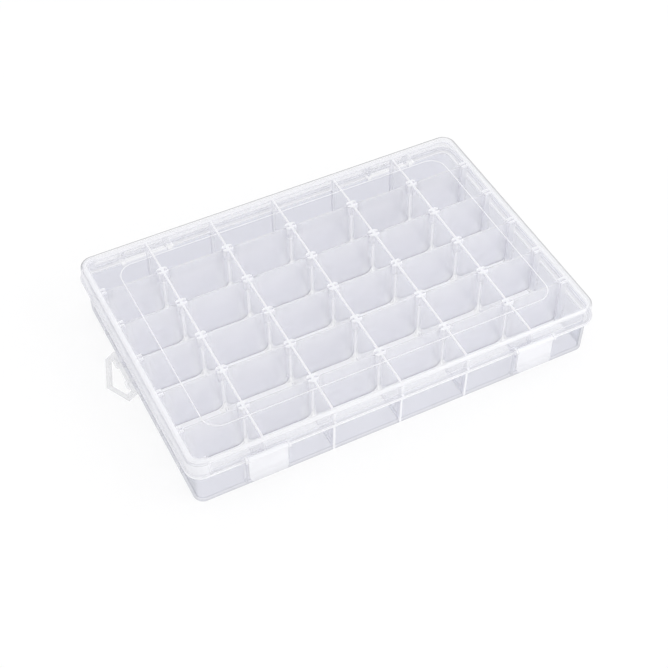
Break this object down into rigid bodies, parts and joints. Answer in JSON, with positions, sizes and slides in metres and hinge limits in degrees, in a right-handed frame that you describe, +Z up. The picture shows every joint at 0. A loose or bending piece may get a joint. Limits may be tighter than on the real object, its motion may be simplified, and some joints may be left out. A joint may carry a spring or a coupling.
{
  "type": "compartment storage box",
  "caption": "Clear flat box with a hinged lid, fixed walls and loose slide-in dividers that make small compartments, flap latches in front and a hang loop at one end.",
  "frame": {"origin": "centre of the base tray's underside, on the surface that the box stands on", "axes": "+X along the length to the right, +Y from the front latches to the rear hinges, +Z up"},
  "size_m": [0.283, 0.1918, 0.0398],
  "materials": {
    "clear_base": "clear, gloss",
    "clear_lid": "clear, gloss",
    "milky_latch": "milky, satin",
    "loop_plastic": "translucent grey, satin",
    "milky_divider": "milky, satin"
  },
  "bodies": {
    "base": {"base_tray": "clear_base"},
    "lid": {"lid": "clear_lid"},
    "latch_left": {"latch_left": "milky_latch"},
    "latch_right": {"latch_right": "milky_latch"},
    "hang_loop": {"hang_loop": "loop_plastic"},
    "divider_c1_r1": {"divider_c1_r1": "milky_divider"},
    "divider_c1_r2": {"divider_c1_r2": "milky_divider"},
    "divider_c1_r3": {"divider_c1_r3": "milky_divider"},
    "divider_c1_r4": {"divider_c1_r4": "milky_divider"},
    "divider_c1_r5": {"divider_c1_r5": "milky_divider"},
    "divider_c2_r1": {"divider_c2_r1": "milky_divider"},
    "divider_c2_r2": {"divider_c2_r2": "milky_divider"},
    "divider_c2_r3": {"divider_c2_r3": "milky_divider"},
    "divider_c2_r4": {"divider_c2_r4": "milky_divider"},
    "divider_c2_r5": {"divider_c2_r5": "milky_divider"},
    "divider_c3_r1": {"divider_c3_r1": "milky_divider"},
    "divider_c3_r2": {"divider_c3_r2": "milky_divider"},
    "divider_c3_r3": {"divider_c3_r3": "milky_divider"},
    "divider_c3_r4": {"divider_c3_r4": "milky_divider"},
    "divider_c3_r5": {"divider_c3_r5": "milky_divider"},
    "divider_c4_r1": {"divider_c4_r1": "milky_divider"},
    "divider_c4_r2": {"divider_c4_r2": "milky_divider"},
    "divider_c4_r3": {"divider_c4_r3": "milky_divider"},
    "divider_c4_r4": {"divider_c4_r4": "milky_divider"},
    "divider_c4_r5": {"divider_c4_r5": "milky_divider"},
    "divider_c5_r1": {"divider_c5_r1": "milky_divider"},
    "divider_c5_r2": {"divider_c5_r2": "milky_divider"},
    "divider_c5_r3": {"divider_c5_r3": "milky_divider"},
    "divider_c5_r4": {"divider_c5_r4": "milky_divider"},
    "divider_c5_r5": {"divider_c5_r5": "milky_divider"},
    "divider_c6_r1": {"divider_c6_r1": "milky_divider"},
    "divider_c6_r2": {"divider_c6_r2": "milky_divider"},
    "divider_c6_r3": {"divider_c6_r3": "milky_divider"},
    "divider_c6_r4": {"divider_c6_r4": "milky_divider"},
    "divider_c6_r5": {"divider_c6_r5": "milky_divider"}
  },
  "joints": [
    {"name": "lid_hinge", "type": "hinge", "parent": "base", "child": "lid", "pos_m": [0, 0.0942, 0.0239], "axis": [-1, 0, 0], "range_deg": [0, 180]},
    {"name": "latch_left_hinge", "type": "hinge", "parent": "lid", "child": "latch_left", "pos_m": [-0.088, -0.0919, 0.02935], "axis": [-1, 0, 0], "range_deg": [0, 110]},
    {"name": "latch_right_hinge", "type": "hinge", "parent": "lid", "child": "latch_right", "pos_m": [0.088, -0.0919, 0.02935], "axis": [-1, 0, 0], "range_deg": [0, 110]},
    {"name": "hang_loop_hinge", "type": "hinge", "parent": "base", "child": "hang_loop", "pos_m": [-0.1364, 0.004, 0.0226], "axis": [0, 1, 0], "range_deg": [-56, 100]},
    {"name": "divider_c1_r1_lift", "type": "slide", "parent": "base", "child": "divider_c1_r1", "axis": [0, 0, 1], "range_m": [0, 0.002]},
    {"name": "divider_c1_r2_lift", "type": "slide", "parent": "base", "child": "divider_c1_r2", "axis": [0, 0, 1], "range_m": [0, 0.002]},
    {"name": "divider_c1_r3_lift", "type": "slide", "parent": "base", "child": "divider_c1_r3", "axis": [0, 0, 1], "range_m": [0, 0.002]},
    {"name": "divider_c1_r4_lift", "type": "slide", "parent": "base", "child": "divider_c1_r4", "axis": [0, 0, 1], "range_m": [0, 0.002]},
    {"name": "divider_c1_r5_lift", "type": "slide", "parent": "base", "child": "divider_c1_r5", "axis": [0, 0, 1], "range_m": [0, 0.002]},
    {"name": "divider_c2_r1_lift", "type": "slide", "parent": "base", "child": "divider_c2_r1", "axis": [0, 0, 1], "range_m": [0, 0.002]},
    {"name": "divider_c2_r2_lift", "type": "slide", "parent": "base", "child": "divider_c2_r2", "axis": [0, 0, 1], "range_m": [0, 0.002]},
    {"name": "divider_c2_r3_lift", "type": "slide", "parent": "base", "child": "divider_c2_r3", "axis": [0, 0, 1], "range_m": [0, 0.002]},
    {"name": "divider_c2_r4_lift", "type": "slide", "parent": "base", "child": "divider_c2_r4", "axis": [0, 0, 1], "range_m": [0, 0.002]},
    {"name": "divider_c2_r5_lift", "type": "slide", "parent": "base", "child": "divider_c2_r5", "axis": [0, 0, 1], "range_m": [0, 0.002]},
    {"name": "divider_c3_r1_lift", "type": "slide", "parent": "base", "child": "divider_c3_r1", "axis": [0, 0, 1], "range_m": [0, 0.002]},
    {"name": "divider_c3_r2_lift", "type": "slide", "parent": "base", "child": "divider_c3_r2", "axis": [0, 0, 1], "range_m": [0, 0.002]},
    {"name": "divider_c3_r3_lift", "type": "slide", "parent": "base", "child": "divider_c3_r3", "axis": [0, 0, 1], "range_m": [0, 0.002]},
    {"name": "divider_c3_r4_lift", "type": "slide", "parent": "base", "child": "divider_c3_r4", "axis": [0, 0, 1], "range_m": [0, 0.002]},
    {"name": "divider_c3_r5_lift", "type": "slide", "parent": "base", "child": "divider_c3_r5", "axis": [0, 0, 1], "range_m": [0, 0.002]},
    {"name": "divider_c4_r1_lift", "type": "slide", "parent": "base", "child": "divider_c4_r1", "axis": [0, 0, 1], "range_m": [0, 0.002]},
    {"name": "divider_c4_r2_lift", "type": "slide", "parent": "base", "child": "divider_c4_r2", "axis": [0, 0, 1], "range_m": [0, 0.002]},
    {"name": "divider_c4_r3_lift", "type": "slide", "parent": "base", "child": "divider_c4_r3", "axis": [0, 0, 1], "range_m": [0, 0.002]},
    {"name": "divider_c4_r4_lift", "type": "slide", "parent": "base", "child": "divider_c4_r4", "axis": [0, 0, 1], "range_m": [0, 0.002]},
    {"name": "divider_c4_r5_lift", "type": "slide", "parent": "base", "child": "divider_c4_r5", "axis": [0, 0, 1], "range_m": [0, 0.002]},
    {"name": "divider_c5_r1_lift", "type": "slide", "parent": "base", "child": "divider_c5_r1", "axis": [0, 0, 1], "range_m": [0, 0.002]},
    {"name": "divider_c5_r2_lift", "type": "slide", "parent": "base", "child": "divider_c5_r2", "axis": [0, 0, 1], "range_m": [0, 0.002]},
    {"name": "divider_c5_r3_lift", "type": "slide", "parent": "base", "child": "divider_c5_r3", "axis": [0, 0, 1], "range_m": [0, 0.002]},
    {"name": "divider_c5_r4_lift", "type": "slide", "parent": "base", "child": "divider_c5_r4", "axis": [0, 0, 1], "range_m": [0, 0.002]},
    {"name": "divider_c5_r5_lift", "type": "slide", "parent": "base", "child": "divider_c5_r5", "axis": [0, 0, 1], "range_m": [0, 0.002]},
    {"name": "divider_c6_r1_lift", "type": "slide", "parent": "base", "child": "divider_c6_r1", "axis": [0, 0, 1], "range_m": [0, 0.002]},
    {"name": "divider_c6_r2_lift", "type": "slide", "parent": "base", "child": "divider_c6_r2", "axis": [0, 0, 1], "range_m": [0, 0.002]},
    {"name": "divider_c6_r3_lift", "type": "slide", "parent": "base", "child": "divider_c6_r3", "axis": [0, 0, 1], "range_m": [0, 0.002]},
    {"name": "divider_c6_r4_lift", "type": "slide", "parent": "base", "child": "divider_c6_r4", "axis": [0, 0, 1], "range_m": [0, 0.002]},
    {"name": "divider_c6_r5_lift", "type": "slide", "parent": "base", "child": "divider_c6_r5", "axis": [0, 0, 1], "range_m": [0, 0.002]}
  ]
}
